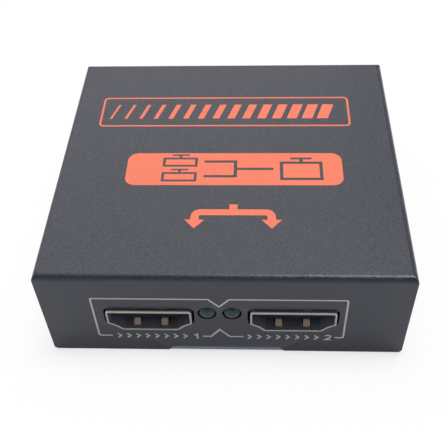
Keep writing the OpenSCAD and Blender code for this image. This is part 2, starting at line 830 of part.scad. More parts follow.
module power_leaf() {
    top = jack_axis_h - bore_r + leaf_rise;
    t = jack_strip_t;
    bend = jack_bore_l - 2;
    hump = jack_front_l + 1.4;
    dip = top - 2 * t;
    color("#c9c4b6") {
        across_x(leaf_w) polygon([
            [leaf_leg_y + t, leaf_floor - t], [leaf_leg_y + t, leaf_floor + t], [bend, leaf_floor + t],
            [hump, top], [jack_front_l, dip], [jack_front_l, dip - t], [hump, top - t],
            [bend, leaf_floor], [leaf_leg_y, leaf_floor], [leaf_leg_y, leaf_floor - t]
        ]);
        leaf_leg();
    }
}

module power_switch_contact() {
    color("#c9c4b6") switch_leg();
}

module light_lens() {
    color("#2f5a45") translate([0, 0, light_rise]) rotate([-90, 0, 0]) {
        intersection() {
            translate([0, 0, light_dome_r]) sphere(light_dome_r);
            cylinder(h = light_l, r = light_r);
        }
        translate([0, 0, light_dome_h]) cylinder(h = light_l - light_dome_h, r = light_r);
        translate([0, 0, light_l - light_flange_t]) cylinder(h = light_flange_t, d = light_flange_d);
    }
}

// The parts of a light's leads that go down through the board, grown by g where it is cut
module light_legs(g = 0) {
    thick = lead_t + 2 * g;
    for (s = [-1, 1])
        translate([s * lead_pitch / 2 - thick / 2, light_l + lead_run - g, -leg_l - g])
            cube([thick, thick, leg_l + g + light_rise]);
}

module light_leads() {
    color("#c4c6ca") {
        for (s = [-1, 1])
            translate([s * lead_pitch / 2 - lead_t / 2, light_l, light_rise - lead_t / 2])
                cube([lead_t, lead_run + lead_t, lead_t]);
        light_legs();
    }
}

// A moulded chip body with its pin mark, standing just clear of the board
module chip_body(w, l, h) {
    mark_d = 1;
    difference() {
        translate([-w / 2, -l / 2, chip_under]) cube([w, l, h - chip_under]);
        translate([mark_d - w / 2, mark_d - l / 2, h - mark_d / 8]) cylinder(h = mark_d, d = mark_d);
    }
}

// One gull-wing lead of width w, starting at a body's side at y = 0 and reaching out along +Y
module gull_lead(w, h) {
    middle = h / 2;
    shoulder = gull_reach * 0.35;
    heel = gull_reach * 0.55;
    across_x(w) polygon([
        [0, middle], [shoulder, middle], [heel, 0], [gull_reach, 0],
        [gull_reach, gull_t], [heel + gull_t, gull_t], [shoulder + gull_t, middle + gull_t], [0, middle + gull_t]
    ]);
}

// A row of gull-wing leads along a body's side
module gull_row(n, pitch, w, h) {
    for (i = [0:n - 1]) translate([(i - (n - 1) / 2) * pitch, 0, 0]) gull_lead(w, h);
}

module splitter_chip() {
    color("#26272b") on_board(chip_pos) chip_body(chip_w, chip_w, chip_h);
}

module splitter_chip_leads() {
    color("#c4c6ca") on_board(chip_pos) for (a = [0:90:270])
        rotate(a) translate([0, chip_w / 2, 0])
            gull_row(chip_lead_n, chip_lead_pitch, chip_lead_pitch * gull_share, chip_h);
}

module memory_chip() {
    color("#26272b") on_board(memory_pos) chip_body(memory_l, memory_w, chip_h);
}

module memory_chip_leads() {
    color("#c4c6ca") on_board(memory_pos) for (a = [0, 180])
        rotate(a) translate([0, memory_w / 2, 0]) gull_row(4, memory_pitch, memory_pitch * gull_share, chip_h);
}

// A slot shape of length l and width w about the origin
module stadium(l, w) {
    square([l - w, w], center = true);
    for (s = [-1, 1]) translate([s * (l - w) / 2, 0]) circle(d = w);
}

module clock_crystal() {
    color("#c2c4c8") on_board(crystal_pos) translate([0, 0, crystal_base_t])
        linear_extrude(crystal_h) stadium(crystal_l, crystal_w);
}

module crystal_base() {
    color("#2a2a2e") on_board(crystal_pos)
        linear_extrude(crystal_base_t) stadium(crystal_l + 2 * crystal_rim, crystal_w + 2 * crystal_rim);
}

module regulator_body() {
    color("#26272b") translate([-regulator_l / 2, -regulator_w / 2, chip_under])
        cube([regulator_l, regulator_w, regulator_h - chip_under]);
}

module regulator_3v3() on_board(regulator_3v3_pos) regulator_body();

module regulator_1v8() on_board(regulator_1v8_pos) regulator_body();

module regulator_leads() {
    color("#c4c6ca") for (pos = [regulator_3v3_pos, regulator_1v8_pos]) on_board(pos) {
        translate([0, regulator_w / 2, 0]) gull_lead(regulator_tab_w, regulator_h);
        rotate(180) translate([0, regulator_w / 2, 0])
            gull_row(3, regulator_pitch, regulator_pitch * gull_share * 0.75, regulator_h);
    }
}

module reservoir_capacitor() {
    groove_d = 4 * reservoir_groove;
    color("#b9bcc2") on_board(reservoir_pos) difference() {
        translate([0, 0, reservoir_base_t]) cylinder(h = reservoir_h - reservoir_base_t, r = reservoir_r);
        rotate_extrude() translate([reservoir_r + groove_d / 2 - reservoir_groove, reservoir_base_t + groove_d])
            circle(d = groove_d);
    }
}

module capacitor_base() {
    half = reservoir_r + 0.15;
    cut = reservoir_r / 3;
    color("#222226") on_board(reservoir_pos) linear_extrude(reservoir_base_t)
        polygon([
            [-half, -half], [half, -half], [half, half - cut],
            [half - cut, half], [cut - half, half], [-half, half - cut]
        ]);
}

module filter_coil_core() {
    color("#3c3c40") on_board(coil_pos) {
        for (z = [0, coil_h - coil_flange_t])
            translate([-coil_w / 2, -coil_w / 2, z]) cube([coil_w, coil_w, coil_flange_t]);
        cylinder(h = coil_h, d = coil_core_d);
    }
}

module filter_coil_winding() {
    color("#a4532c") on_board(coil_pos) translate([0, 0, coil_flange_t]) difference() {
        cylinder(h = coil_h - 2 * coil_flange_t, d = coil_wire_d);
        translate([0, 0, -over]) cylinder(h = coil_h + 2 * over, d = coil_core_d + 2 * screw_gap);
    }
}

// Distance of the rows of chip capacitors and resistors from the middle of the splitter chip
function chip_row_r() = chip_w / 2 + gull_reach + chip_part_l;

// Places a part at each chip capacitor (turn 0) or chip resistor (turn 90), with its length along X
module at_chip_parts(turn) {
    on_board(chip_pos) for (a = [turn, turn + 180], i = [-1.5:1.5])
        rotate(a) translate([chip_row_r(), i * chip_part_pitch, 0]) children();
}

// The middle of a chip capacitor or resistor, between its metal ends
module chip_part(h) {
    translate([-chip_part_l / 2 + terminal_l, -chip_part_w / 2, 0])
        cube([chip_part_l - 2 * terminal_l, chip_part_w, h]);
}

module chip_part_ends(h) {
    for (x = [-chip_part_l / 2, chip_part_l / 2 - terminal_l])
        translate([x, -chip_part_w / 2, 0]) cube([terminal_l, chip_part_w, h]);
}

module ceramic_capacitors() {
    color("#a98d63") at_chip_parts(0) chip_part(capacitor_h);
}

module chip_resistors() {
    color("#1d1d20") at_chip_parts(90) chip_part(resistor_h);
}

module chip_terminals() {
    color("#c4c6ca") {
        at_chip_parts(0) chip_part_ends(capacitor_h);
        at_chip_parts(90) chip_part_ends(resistor_h);
    }
}

module surge_pair() {
    for (s = [-1, 1])
        translate([s * surge_pitch / 2 - surge_l / 2, socket_back + surge_back - surge_w / 2, 0])
            cube([surge_l, surge_w, surge_h]);
}

module surge_arrays() {
    color("#26272b") {
        at_output_1() surge_pair();
        at_output_2() surge_pair();
        at_input() surge_pair();
    }
}

top_cover();
base_plate();
cover_screws();
board_standoffs();
board_screws();
circuit_board();
at_output_1() socket_shell();  // output_1_shell
at_output_1() socket_tongue();  // output_1_tongue
at_output_1() socket_contacts();  // output_1_contacts
at_output_2() socket_shell();  // output_2_shell
at_output_2() socket_tongue();  // output_2_tongue
at_output_2() socket_contacts();  // output_2_contacts
at_input() socket_shell();  // input_shell
at_input() socket_tongue();  // input_tongue
at_input() socket_contacts();  // input_contacts
at_power() power_housing();
at_power() power_pin();
at_power() power_leaf();
at_power() power_switch_contact();
at_light_1() light_lens();  // output_1_light
at_light_1() light_leads();  // output_1_light_leads
at_light_2() light_lens();  // output_2_light
at_light_2() light_leads();  // output_2_light_leads
at_power_light() light_lens();  // power_light
at_power_light() light_leads();  // power_light_leads
splitter_chip();
splitter_chip_leads();
memory_chip();
memory_chip_leads();
clock_crystal();
crystal_base();
regulator_3v3();
regulator_1v8();
regulator_leads();
reservoir_capacitor();
capacitor_base();
filter_coil_core();
filter_coil_winding();
ceramic_capacitors();
chip_resistors();
chip_terminals();
surge_arrays();
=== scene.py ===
"""Looks of a small one-to-two video splitter: a folded steel cover in black powder coat with printed marks,
a zinc-plated base, plated sockets with black inserts and green indicator lamps. Lengths below are in millimetres
unless a comment says metres; X runs across the ports, the outputs face -Y and Z is up."""

from itertools import combinations
from math import cos, pi, radians, sin

import bmesh
import bpy
import numpy as np
from mathutils import Matrix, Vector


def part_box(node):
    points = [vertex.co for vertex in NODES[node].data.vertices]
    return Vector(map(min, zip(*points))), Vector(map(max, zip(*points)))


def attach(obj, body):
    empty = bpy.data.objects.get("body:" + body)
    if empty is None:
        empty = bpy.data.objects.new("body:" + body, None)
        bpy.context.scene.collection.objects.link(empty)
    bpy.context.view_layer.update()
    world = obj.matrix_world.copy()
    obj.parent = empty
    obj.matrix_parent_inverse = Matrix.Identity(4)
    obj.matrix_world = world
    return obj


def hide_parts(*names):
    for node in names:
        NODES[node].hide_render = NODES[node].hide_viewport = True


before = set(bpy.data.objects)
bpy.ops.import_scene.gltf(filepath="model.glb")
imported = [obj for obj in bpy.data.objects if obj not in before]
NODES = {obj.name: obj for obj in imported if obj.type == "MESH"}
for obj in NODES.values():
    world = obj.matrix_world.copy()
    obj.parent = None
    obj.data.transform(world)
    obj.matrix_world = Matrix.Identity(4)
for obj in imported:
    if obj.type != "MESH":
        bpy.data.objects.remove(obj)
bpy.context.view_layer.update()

MM = 0.001                                  # metres in a millimetre
COLOUR_A, COLOUR_B, COLOUR_OUT = 6, 7, 2    # sockets of a Mix node that mixes colours
SLOT_OF = {name: node.material_slots[0].material.name for name, node in NODES.items()}


# ---------------------------------------------------------------- materials

def linear(code):
    """An sRGB hex code as the linear colour that a shader takes."""
    c = np.array([int(code[i:i + 2], 16) for i in (1, 3, 5)]) / 255
    return (*np.where(c <= 0.04045, c / 12.92, ((c + 0.055) / 1.055) ** 2.4), 1.0)


def add(tree, kind, inputs=None, **settings):
    """Adds one node. settings are its own properties; inputs maps a socket to a value or to another node's output."""
    node = tree.nodes.new("ShaderNode" + kind)
    for key, value in settings.items():
        setattr(node, key, value)
    for key, value in (inputs or {}).items():
        if isinstance(value, bpy.types.NodeSocket):
            tree.links.new(value, node.inputs[key])
        else:
            node.inputs[key].default_value = value
    return node


def finish(name, dark, light, grain, rough, relief=0.0, stretch=(1, 1, 1), cloud=8.0, upright=1.0, **sockets):
    """A material on one shader. A grain of that many mm, stretched along an axis where the process drew it out, runs
    the colour from dark to light and stands relief mm high; on upright faces only the share upright is left of it. A
    cloud of handling marks, cloud mm broad, joins the grain in running the roughness between its two values."""
    made = bpy.data.materials.new(name)
    made.use_nodes = True
    tree = made.node_tree
    shader = tree.nodes["Principled BSDF"]
    for key, value in sockets.items():
        shader.inputs[key.replace("_", " ")].default_value = value
    place = add(tree, "TexCoord").outputs["Object"]
    drawn = add(tree, "Mapping", {"Vector": place, "Scale": stretch}).outputs["Vector"]
    fine = add(tree, "TexNoise", {"Vector": drawn, "Scale": 1 / (grain * MM), "Detail": 3.0}).outputs["Fac"]
    fine = add(tree, "MapRange", {"Value": fine, "From Min": 0.3, "From Max": 0.7}).outputs[0]
    if upright < 1:
        up = add(tree, "SeparateXYZ", {0: add(tree, "NewGeometry").outputs["Normal"]}).outputs["Z"]
        share = add(tree, "MapRange", {"Value": up, "From Min": 0.3, "To Min": upright}).outputs[0]
        fine = add(tree, "Mix", {"Factor": share, "A": 0.5, "B": fine}).outputs[0]
    broad = add(tree, "TexNoise", {"Vector": place, "Scale": 1 / (cloud * MM), "Detail": 2.0}).outputs["Fac"]
    mixed = add(tree, "Mix", {0: fine, COLOUR_A: linear(dark), COLOUR_B: linear(light)}, data_type="RGBA")
    tree.links.new(mixed.outputs[COLOUR_OUT], shader.inputs["Base Color"])
    both = add(tree, "Math", {0: fine, 1: broad}, operation="ADD")
    worn = add(tree, "MapRange", {"Value": both.outputs[0], "From Min": 0.6, "From Max": 1.4,
                                  "To Min": rough[0], "To Max": rough[1]})
    tree.links.new(worn.outputs[0], shader.inputs["Roughness"])
    if relief:
        bump = add(tree, "Bump", {"Height": fine, "Strength": 1.0, "Distance": relief * MM})
        tree.links.new(bump.outputs[0], shader.inputs["Normal"])
    return made


def tint_shell_shade_and_glints(made, mouth, inside, glint_colour):
    """Painted shade and painted reflections on a socket shell, in zones by its own form. The lip, which runs out 0.2
    to 0.4 mm behind the mouth, keeps the finish's colour; the mouth lies mouth metres off the case's middle. The
    walls behind the lip take the first colour, a cool tint painted in for the shade inside the shell. The slopes of
    the spring fingers, whose normals lean towards the mouth, take the second colour, a warm painted reflection."""
    tree = made.node_tree
    base = tree.nodes["Principled BSDF"].inputs["Base Color"]
    lip_colour = base.links[0].from_socket
    off = add(tree, "SeparateXYZ", {0: add(tree, "TexCoord").outputs["Object"]}).outputs["Y"]
    off = add(tree, "Math", {0: off}, operation="ABSOLUTE").outputs[0]
    lip = add(tree, "MapRange", {"Value": off, "From Min": mouth - 0.4 * MM, "From Max": mouth - 0.2 * MM})
    lean = add(tree, "SeparateXYZ", {0: add(tree, "NewGeometry").outputs["Normal"]}).outputs["Y"]
    lean = add(tree, "Math", {0: lean}, operation="ABSOLUTE").outputs[0]
    slope = add(tree, "MapRange", {"Value": lean, "From Min": 0.25, "From Max": 0.4})
    # the walls behind the lip get a painted shade tint, the finger slopes a painted warm reflection
    wall = add(tree, "Mix", {0: slope.outputs[0], COLOUR_A: linear(inside), COLOUR_B: linear(glint_colour)},
               data_type="RGBA")
    zones = add(tree, "Mix", {0: lip.outputs[0], COLOUR_A: wall.outputs[COLOUR_OUT], COLOUR_B: lip_colour},
                data_type="RGBA")
    tree.links.new(zones.outputs[COLOUR_OUT], base)


# Polyester powder coat, sprayed and baked on steel: satin black with a fine pebbled skin, so that it shows a soft
# grey reflection and a fine speckle on the faces that lay uppermost. The real pebbles are about 0.2 mm; 0.32 mm is
# what the picture can show.
powder_coat = finish("black_powder_coat", "#15181f", "#3c3f47", 0.32, (0.3, 0.38), 0.022, cloud=14.0, upright=0.1)

# Pad-printed ink on the coat: opaque, a little duller than the coat and as pebbled.
orange_ink = finish("orange_pad_ink", "#ec6f4c", "#f4805b", 0.36, (0.5, 0.62), 0.006)
white_ink = finish("white_pad_ink", "#b7b7b8", "#c6c6c6", 0.36, (0.5, 0.62), 0.006)

FINISHES = {
    "cover_paint": powder_coat,
    # Zinc-plated sheet steel with a blue passivation: cool grey metal with faint rolling lines along X.
    "base_steel": finish("blue_zinc_plated_sheet", "#868a9a", "#a0a4b4", 0.4, (0.34, 0.5), 0.002,
                         (0.08, 1, 1), Metallic=1.0),
    # Black zinc on a steel screw: dark metal with a slightly oily sheen.
    "black_screw": finish("black_zinc_plated_screw", "#1f2023", "#2f3034", 0.25, (0.28, 0.42), 0.002, Metallic=0.9),
    # Turned brass, ringed by the lathe tool.
    "brass": finish("turned_brass", "#b08d4a", "#cfae6a", 0.12, (0.22, 0.36), 0.002, (1, 1, 4), Metallic=1.0),
    # Bright nickel on steel.
    "plated_steel": finish("nickel_plated_steel", "#b5b1a8", "#cdc9c0", 0.3, (0.2, 0.34), 0.001, Metallic=1.0),
    # Glass and epoxy laminate under green solder mask: the cloth shows as a fine relief.
    "board_laminate": finish("green_solder_mask", "#0f3d24", "#17502f", 0.5, (0.24, 0.36), 0.004, Coat_Weight=0.3),
    # Nickel-plated strip, folded and drawn: warm pale metal at the lip, streaked along the draw. Behind the lip,
    # painted shade and a painted reflection on the spring fingers are mixed into its colour further down.
    "socket_shell": finish("drawn_nickel_shell", "#a49f91", "#b4afa1", 0.3, (0.34, 0.42), 0.0, (1, 0.15, 1),
                           Metallic=0.78),
    # Glass-filled black plastic, moulded: dull black with a fine sparkle of fibre.
    "black_plastic": finish("moulded_black_plastic", "#1c1e28", "#242630", 0.2, (0.6, 0.75), 0.003,
                            Specular_IOR_Level=0.05),
    # Gold flash over nickel on the contacts.
    "gold_contact": finish("gold_flashed_contact", "#c79a45", "#e2b962", 0.15, (0.2, 0.3), 0.001, Metallic=1.0),
    # Green-dyed cast epoxy with a little milk in it: smooth, deep green.
    "green_lens": finish("green_cast_epoxy", "#0c301f", "#133d28", 1.2, (0.26, 0.36), cloud=2.0,
                         Subsurface_Weight=0.2, Subsurface_Scale=0.6 * MM),
    # Hot-dipped tin on the leads.
    "tinned_lead": finish("tinned_copper_lead", "#b9bcc0", "#d2d4d7", 0.3, (0.26, 0.42), 0.002, Metallic=1.0),
    # Black epoxy mould compound, matt from the spark-eroded mould.
    "chip_body": finish("black_mould_compound", "#1b1c1e", "#292a2d", 0.08, (0.55, 0.7), 0.003),
    # Bare drawn aluminium can.
    "capacitor_can": finish("drawn_aluminium", "#b9bcc1", "#d3d6da", 0.2, (0.3, 0.42), 0.001, (1, 1, 0.1),
                            Metallic=1.0),
    # Sintered ferrite: dark grey, finely granular.
    "ferrite": finish("sintered_ferrite", "#2b2b2d", "#3d3c3d", 0.12, (0.6, 0.75), 0.006),
    # Enamelled copper wire: amber varnish on a red metal.
    "coil_wire": finish("enamelled_copper_wire", "#8e4a24", "#b4672f", 0.3, (0.22, 0.34), 0.004, (1, 1, 6),
                        Metallic=0.8),
    # Fired ceramic: tan and matt.
    "ceramic": finish("fired_ceramic", "#a58a68", "#bba07c", 0.1, (0.5, 0.64), 0.002),
}

# Painted light on the shells: a cool bluish tint on their insides is painted shade, and a warm pale colour on the
# slopes of the spring fingers is a painted reflection.
tint_shell_shade_and_glints(FINISHES["socket_shell"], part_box("input_shell")[1][1], "#b6bbc8", "#d4bda4")

for name, node in NODES.items():
    node.material_slots[0].material = FINISHES[SLOT_OF[name]]


# ---------------------------------------------------------------- making pieces

def piece(name, points, faces, look, smooth=True):
    """Puts points in mm and faces into a piece that rides on the case."""
    mesh = bpy.data.meshes.new(name)
    mesh.from_pydata((np.asarray(points) * MM).tolist(), [], [list(map(int, f)) for f in faces])
    mesh.polygons.foreach_set("use_smooth", np.full(len(mesh.polygons), smooth))
    mesh.materials.append(look)
    made = bpy.data.objects.new(name, mesh)
    bpy.context.scene.collection.objects.link(made)
    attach(made, "root")
    return made


def ring_quads(rings, turns):
    """Faces between neighbouring closed rings of points that are numbered ring by ring: at ring i and point j, the
    corners are (i, j), (i, j + 1), (i + 1, j + 1) and (i + 1, j)."""
    i, j = np.meshgrid(np.arange(rings - 1), np.arange(turns), indexing="ij")
    k = (j + 1) % turns
    return np.stack([i * turns + j, i * turns + k, (i + 1) * turns + k, (i + 1) * turns + j], -1).reshape(-1, 4)


# ---------------------------------------------------------------- rolled edges of the CAD's own shapes

CROWD = 30            # degrees between two sharp edges at a point below which both stay sharp
MOUTH_RISE = 0.4      # height of the middle of a socket's mouth above the middle of its shell
SHELL_CORNER = 0.6    # height below a shell's roof over which the flare of its mouth runs out


def weigh_edges(shape, node, edge, turn, lip, flare):
    """Gives each edge of a shape that is sharper than turn degrees its share of the widest roll. Edges at a point
    where two of them run close together, or where an inner and an outer corner meet, stay sharp. On the outer edge of
    a socket's mouth the roll is lip mm along the roof, 0.4 of that at the sides and edge mm underneath, and there the
    roof's edge is raised by flare mm."""
    width = shape.edges.layers.float.new("bevel_weight_edge")
    sharp = {e: e.calc_face_angle_signed() for e in shape.edges if e.is_manifold}
    sharp = {e: turned for e, turned in sharp.items() if abs(turned) > radians(turn)}
    crowded = set()
    for v in shape.verts:
        own = [e for e in v.link_edges if e in sharp]
        ways = [(e.other_vert(v).co - v.co).normalized() for e in own]
        close = any(a.dot(b) > cos(radians(CROWD)) for a, b in combinations(ways, 2))
        if close or len({sharp[e] > 0 for e in own}) > 1:
            crowded.add(v)
    low, high = (np.array(c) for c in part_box(node))
    mouth = low[1] if low[1] + high[1] < 0 else high[1]
    middle = (low + high) / 2 + (0, 0, MOUTH_RISE * MM)
    rim = set()
    for e in sharp:
        wide = edge
        if lip and all(abs(v.co.y - mouth) < 0.01 * MM for v in e.verts):
            out = np.mean([v.co for v in e.verts], 0) - middle
            side = min(e.link_faces, key=lambda f: abs(f.normal.y)).normal
            if out[0] * side.x + out[2] * side.z > 0:
                wide = max(edge, lip * np.interp(side.z, (-0.5, 0.0, 0.4, 0.8), (0, 0.4, 0.4, 1)))
                rim.update(e.verts)
        e[width] = 0.0 if crowded.intersection(e.verts) else wide / (lip or edge)
    for v in rim:
        v.co.z += flare * MM * np.clip(1 - (high[2] - v.co.z) / (SHELL_CORNER * MM), 0, 1)


def eased(node, name, edge, turn=35, lip=None, flare=0.0):
    """A merged copy of a CAD node that stands for it, with its sharp edges rolled over by edge mm as tumbling,
    plating or paint leaves them. lip and flare shape a socket's mouth."""
    shape = bmesh.new()
    shape.from_mesh(NODES[node].data)
    bmesh.ops.remove_doubles(shape, verts=shape.verts, dist=0.001 * MM)
    bmesh.ops.dissolve_limit(shape, angle_limit=radians(0.5), verts=shape.verts, edges=shape.edges)
    bmesh.ops.triangulate(shape, faces=[f for f in shape.faces if len(f.verts) > 4])
    weigh_edges(shape, node, edge, turn, lip, flare)
    mesh = bpy.data.meshes.new(name)
    shape.to_mesh(mesh)
    shape.free()
    if "custom_normal" in mesh.attributes:
        mesh.attributes.remove(mesh.attributes["custom_normal"])
    mesh.polygons.foreach_set("use_smooth", np.ones(len(mesh.polygons), bool))
    mesh.edges.foreach_set("use_edge_sharp", np.zeros(len(mesh.edges), bool))
    mesh.materials.clear()
    mesh.materials.append(FINISHES[SLOT_OF[node]])
    made = bpy.data.objects.new(name, mesh)
    bpy.context.scene.collection.objects.link(made)
    roll = made.modifiers.new("rolled_edges", "BEVEL")
    roll.width, roll.segments, roll.use_clamp_overlap = (lip or edge) * MM, 3, False
    roll.limit_method, roll.loop_slide = "WEIGHT", False
    flat = made.modifiers.new("flat_faces", "WEIGHTED_NORMAL")
    flat.keep_sharp = True
    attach(made, "root")
    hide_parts(node)


eased("top_cover", "folded_cover", 0.09)
eased("base_plate", "lugged_base", 0.08)
eased("cover_screws", "countersunk_cover_screws", 0.06)
eased("board_standoffs", "clinched_standoffs", 0.05)
eased("power_housing", "moulded_power_socket", 0.12)
for port in ("output_1", "output_2", "input"):
    eased(port + "_shell", port + "_drawn_shell", 0.05, lip=0.16, flare=0.3)
    eased(port + "_tongue", port + "_moulded_tongue", 0.06)


# ---------------------------------------------------------------- indicator lamps

def lamp_lens(node, name, turns=48):
    """A cast lens revolved about the line through the node's middle along Y: a cap of a ball, a straight body and a
    flange with rolled corners. At angle t and profile place (r, y) the point is (x + r cos t, y, z + r sin t)."""
    low, high = (np.array(c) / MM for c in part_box(node))
    x, z = (low[0] + high[0]) / 2, (low[2] + high[2]) / 2
    out = -1 if low[1] < 0 else 1
    tip, heel = (low[1], high[1]) if out < 0 else (high[1], low[1])
    length, body, cap, thick, roll = 5.3, 1.5, 0.8, 1.0, 0.12
    flange, shoulder = (high[0] - low[0]) / 2, length - thick
    ball = (body ** 2 + cap ** 2) / (2 * cap)
    dome = np.linspace(0.002, np.arcsin(body / ball), 16)
    corner = np.linspace(0, pi / 2, 5)
    r = np.concatenate([ball * np.sin(dome), [body, body + roll],
                        flange - roll + roll * np.sin(corner), flange - roll + roll * np.cos(corner), [0.02]])
    back = np.concatenate([ball * (1 - np.cos(dome)), [shoulder - roll, shoulder],
                           shoulder + roll * (1 - np.cos(corner)), length - roll + roll * np.sin(corner), [length]])
    y = tip - out * back * abs(tip - heel) / length
    t = np.linspace(0, 2 * pi, turns, endpoint=False)
    points = np.stack([x + r[:, None] * np.cos(t), np.repeat(y[:, None], turns, 1), z + r[:, None] * np.sin(t)], -1)
    ends = [np.arange(turns)[::-1], (len(r) - 1) * turns + np.arange(turns)]
    faces = [*ring_quads(len(r), turns).tolist(), *(end.tolist() for end in ends)]
    if out > 0:
        faces = [f[::-1] for f in faces]
    made = piece(name, points.reshape(-1, 3), faces, FINISHES["green_lens"])
    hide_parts(node)


for lamp in ("output_1_light", "output_2_light", "power_light"):
    lamp_lens(lamp, lamp + "_lens")


# ---------------------------------------------------------------- printed marks

INK = 0.02      # height of the ink above the coat
SUNK = 0.01     # depth of its underside below the coat's face
TAPER = 0.04    # width over which a stroke's edge falls away

# A face to print on: a point on it, and its across, up and outward directions.
(_, front_y, _), (_, _, top_z) = (np.array(c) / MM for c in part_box("top_cover"))
FRONT = np.array([[0, front_y, 0], [1, 0, 0], [0, 0, 1], [0, -1, 0]], float)
TOP = np.array([[0, 0, top_z], [1, 0, 0], [0, 1, 0], [0, 0, 1]], float)


def sides(path, half, closed=False):
    """The left and right edge of a stroke that runs along path with half its width at each point. At a corner both
    edges meet on the mitre: the sum of the two normals over one plus their dot product."""
    path = np.asarray(path, float)
    ahead = np.roll(path, -1, 0) - path
    if not closed:
        ahead[-1] = ahead[-2]
    ahead /= np.linalg.norm(ahead, axis=1, keepdims=True)
    behind = np.roll(ahead, 1, 0)
    if not closed:
        behind[0] = ahead[0]
    n1, n2 = (np.stack([-d[:, 1], d[:, 0]], 1) for d in (behind, ahead))
    mitre = (n1 + n2) / (1 + (n1 * n2).sum(1, keepdims=True))
    reach = mitre * np.broadcast_to(half, len(path))[:, None]
    return path + reach, path - reach


def rounded(corners, radius, closed=True, steps=6):
    """A path through corners with each one rounded: an arc of its radius, tangent to both sides, whose middle lies
    on the corner's bisector at radius over the sine of half its angle."""
    p = np.asarray(corners, float)
    radius = np.maximum(np.broadcast_to(radius, len(p)), 1e-3)
    keep = np.ones(len(p), bool)
    if not closed:
        keep[[0, -1]] = False
    back, on = np.roll(p, 1, 0) - p, np.roll(p, -1, 0) - p
    back /= np.linalg.norm(back, axis=1, keepdims=True)
    on /= np.linalg.norm(on, axis=1, keepdims=True)
    half = np.arccos(np.clip((back * on).sum(1), -1, 1)) / 2
    bisector = (back + on) / np.linalg.norm(back + on, axis=1, keepdims=True)
    middle = p + bisector * (radius / np.sin(half))[:, None]
    first = p + back * (radius / np.tan(half))[:, None] - middle
    last = p + on * (radius / np.tan(half))[:, None] - middle
    sweep = np.arccos(np.clip((first * last).sum(1) / radius ** 2, -1, 1))
    s = np.linspace(0, 1, steps)
    a = np.sin((1 - s) * sweep[:, None]) / np.sin(sweep)[:, None]
    b = np.sin(s * sweep[:, None]) / np.sin(sweep)[:, None]
    arcs = middle[:, None] + a[..., None] * first[:, None] + b[..., None] * last[:, None]
    return np.concatenate([arc if k else point[None] for arc, point, k in zip(arcs, p, keep)])


def printed(name, strokes, face, look):
    """Strokes of ink on a face. Each is (left edge, right edge, closed): the section of a stroke, a thin strip with
    tapered sides, is carried from the edges' first points to their last."""
    points, faces, base = [], [], 0
    for left, right, closed in strokes:
        n = len(left)
        breadth = np.linalg.norm(right - left, axis=1, keepdims=True)
        taper = np.minimum(TAPER, 0.3 * breadth) * (right - left) / breadth
        ring = np.stack([left, left + taper, right - taper, right], 1)
        height = np.broadcast_to([-SUNK, INK, INK, -SUNK], (n, 4))
        points.append((face[0] + ring[..., :1] * face[1] + ring[..., 1:] * face[2]
                       + height[..., None] * face[3]).reshape(-1, 3))
        i, k = np.meshgrid(np.arange(n if closed else n - 1), np.arange(4), indexing="ij")
        step, turn = (i + 1) % n, (k + 1) % 4
        strip = np.stack([i * 4 + k, i * 4 + turn, step * 4 + turn, step * 4 + k], -1).reshape(-1, 4)
        faces += (base + strip).tolist()
        if not closed:
            faces += [[base + 3, base + 2, base + 1, base], [base + 4 * (n - 1) + c for c in range(4)]]
        base += 4 * n
    piece(name, np.concatenate(points), faces, look, smooth=False)


def stroke(path, width, closed=False):
    """One stroke of even width along a path, or of the width given for each point."""
    return (*sides(path, np.asarray(width) / 2, closed), closed)


# Port frame on the front: two open boxes that lean on each other in a V above and below the lamps.
LINE = 0.36
frame_top, frame_low = 15.55, 4.52
upper = rounded([(-20.47, frame_low), (-22.9, frame_low), (-22.9, frame_top), (-2.7, frame_top), (-0.87, 13.45),
                 (0.9, frame_top), (21.0, frame_top), (21.0, frame_low), (19.49, frame_low)],
                [0, 0.35, 0.35, 0.2, 0.06, 0.2, 0.35, 0.35, 0], closed=False)
lower = np.array([(-4.06, frame_low), (-2.6, frame_low), (-0.98, 6.68), (0.79, frame_low), (3.2, frame_low)])


def arrows_to(first, last, count=8):
    """A row of plain chevrons that point to the port's number."""
    arm = np.array([(-0.3, 0.62), (0.3, 0.0), (-0.3, -0.62)])
    return [stroke(arm + (x, frame_low), 0.34) for x in np.linspace(first, last, count)]


DIGIT_PEN = 0.32
one = np.array([(-0.42, 0.3), (0.12, 0.66), (0.12, -0.8)])
bow = np.linspace(radians(165), radians(-38), 12)
two = np.concatenate([np.stack([0.46 * np.cos(bow), 0.3 + 0.42 * np.sin(bow)], 1), [(-0.48, -0.66), (0.56, -0.66)]])
printed("front_port_print",
        [stroke(upper, LINE), stroke(lower, LINE),
         *arrows_to(-19.2, -7.3), stroke(one + (-5.2, frame_low), DIGIT_PEN),
         *arrows_to(4.3, 16.2), stroke(two + (18.3, frame_low), DIGIT_PEN)], FRONT, white_ink)

# Fork on the top: the line from the input at the back splits to the two outputs at the front.
FORK_PEN, prong_foot = 1.5, -16.65
prongs = (-5.45, 8.15)
fork = rounded([(prongs[0], prong_foot), (prongs[0], -14.85), (prongs[1], -14.85), (prongs[1], prong_foot)], 1.0,
               closed=False)
stem = [(1.35, -12.92), (1.35, -14.1)]
heads = [stroke([(x, prong_foot), (x, -18.63)], [3.6, 0.2]) for x in prongs]
printed("top_fork_print", [stroke(fork, FORK_PEN), stroke(stem, FORK_PEN), *heads], TOP, orange_ink)

